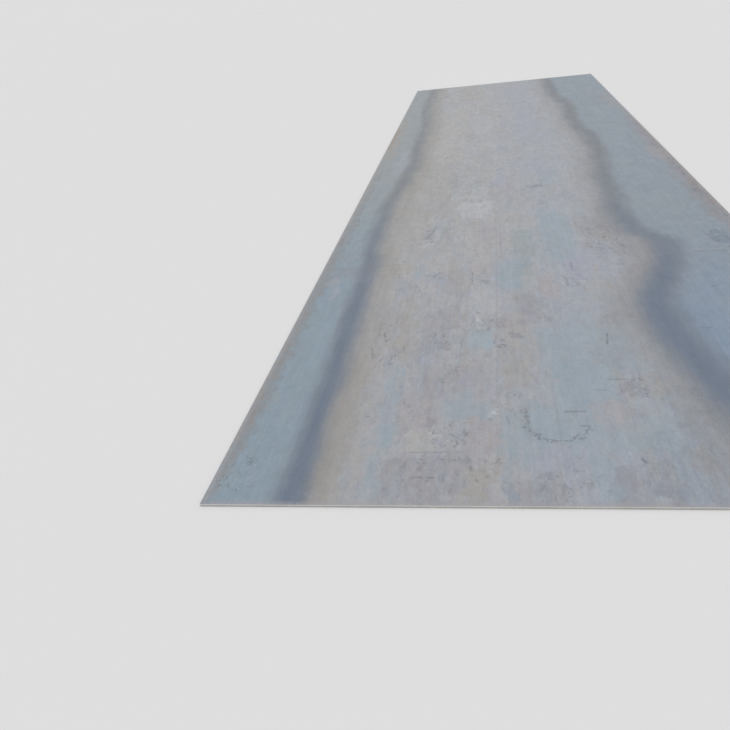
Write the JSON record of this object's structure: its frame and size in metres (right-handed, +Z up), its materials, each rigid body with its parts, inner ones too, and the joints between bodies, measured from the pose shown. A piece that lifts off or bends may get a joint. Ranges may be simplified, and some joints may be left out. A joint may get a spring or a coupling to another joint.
{
  "type": "steel plate",
  "caption": "Flat hot-rolled steel plate, sheared square on all sides, as raw stock for cutting, bending and welding.",
  "frame": {"origin": "centre of the plate's underside", "axes": "+X across the plate, +Y along its length (the rolling direction), +Z up out of the face with the rolled-over shear edge"},
  "size_m": [1.5, 6, 0.006],
  "materials": {
    "mill_scale_steel": "hot-rolled carbon steel with blue-grey mill scale, satin, bright at the sheared edges"
  },
  "bodies": {
    "root": {"steel_plate": "mill_scale_steel"}
  },
  "joints": []
}
